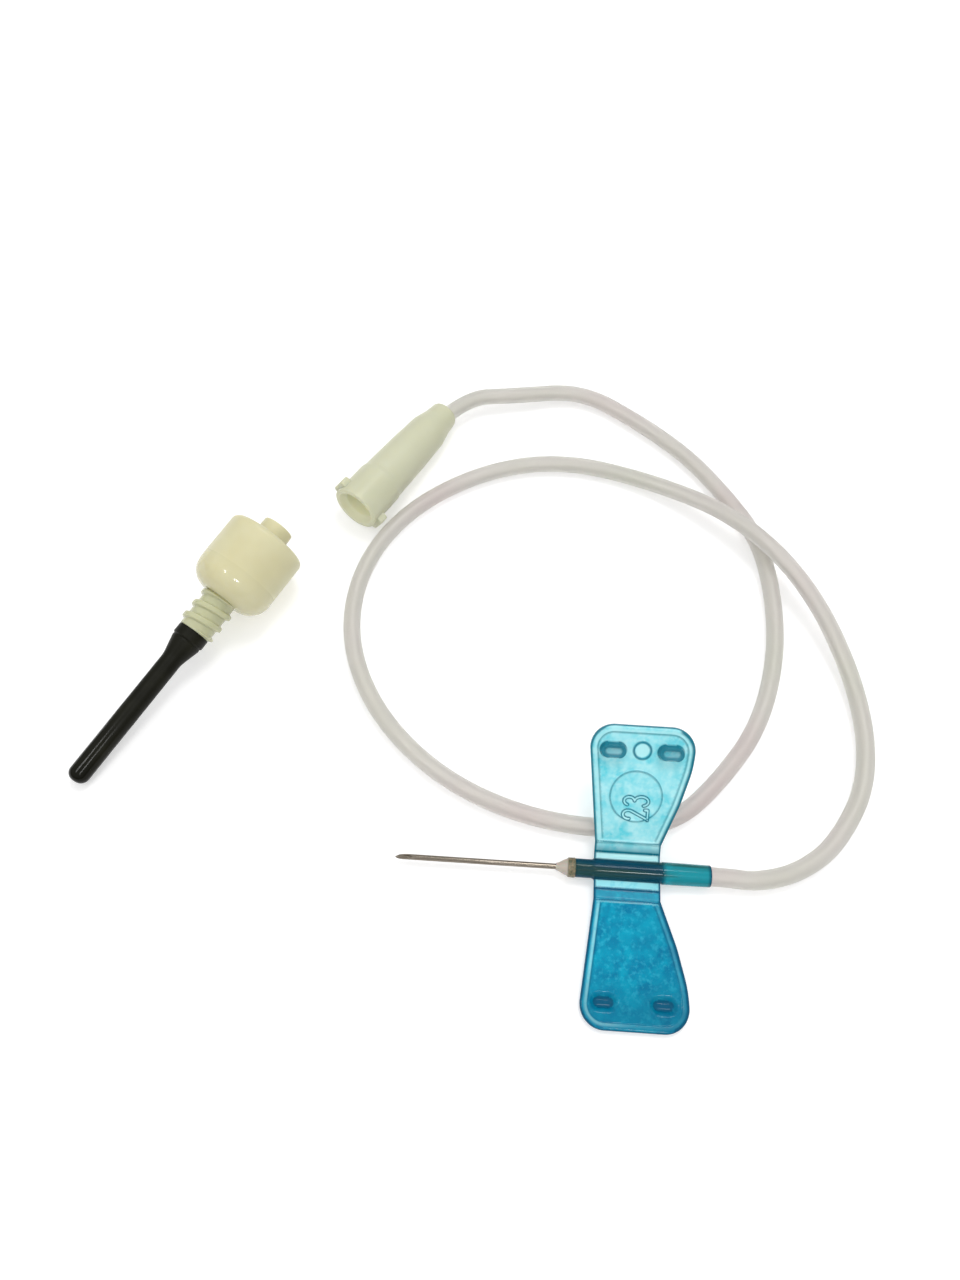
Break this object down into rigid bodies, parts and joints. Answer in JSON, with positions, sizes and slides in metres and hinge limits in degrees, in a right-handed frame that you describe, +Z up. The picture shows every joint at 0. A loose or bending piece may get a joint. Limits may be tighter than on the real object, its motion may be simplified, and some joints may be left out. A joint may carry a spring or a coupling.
{
  "type": "blood collection needle",
  "caption": "Winged blood collection set: steel cannula in a barrel with two folding wings, looped tubing, a female luer connector and a separate multi-sample adapter.",
  "frame": {"origin": "centre of the underside of the box round the winged needle and the adapter, on the table they lie on", "axes": "+Z up; the cannula points along -X; the far wing is on the +Y side"},
  "size_m": [0.0977, 0.0882, 0.0116],
  "materials": {
    "steel": "ground stainless steel",
    "adhesive": "cured clear adhesive",
    "barrel": "dark blue translucent soft plastic",
    "far_wing": "pale cyan soft vinyl",
    "near_wing": "cyan blue soft vinyl",
    "tubing": "clear flexible vinyl",
    "connector": "translucent ivory plastic",
    "adapter": "translucent cream plastic",
    "sleeve": "black rubber"
  },
  "bodies": {
    "set": {"needle_cannula": "steel", "needle_adhesive": "adhesive", "wing_hub": "barrel", "tubing": "tubing", "luer_connector": "connector", "adapter_body": "adapter", "rear_cannula": "steel", "rear_adhesive": "adhesive", "rubber_sleeve": "sleeve"},
    "far_wing": {"far_wing": "far_wing"},
    "near_wing": {"near_wing": "near_wing"}
  },
  "joints": [
    {"name": "far_wing_fold", "type": "hinge", "parent": "set", "child": "far_wing", "pos_m": [0.02886, -0.01048, 0.00129], "axis": [1, 0, 0], "range_deg": [-4, 61], "stiffness_Nm_per_rad": 0.00034, "springref_deg": 2.29},
    {"name": "near_wing_fold", "type": "hinge", "parent": "set", "child": "near_wing", "pos_m": [0.02886, -0.01388, 0.00129], "axis": [-1, 0, 0], "range_deg": [-25, 97], "stiffness_Nm_per_rad": 0.00034}
  ]
}
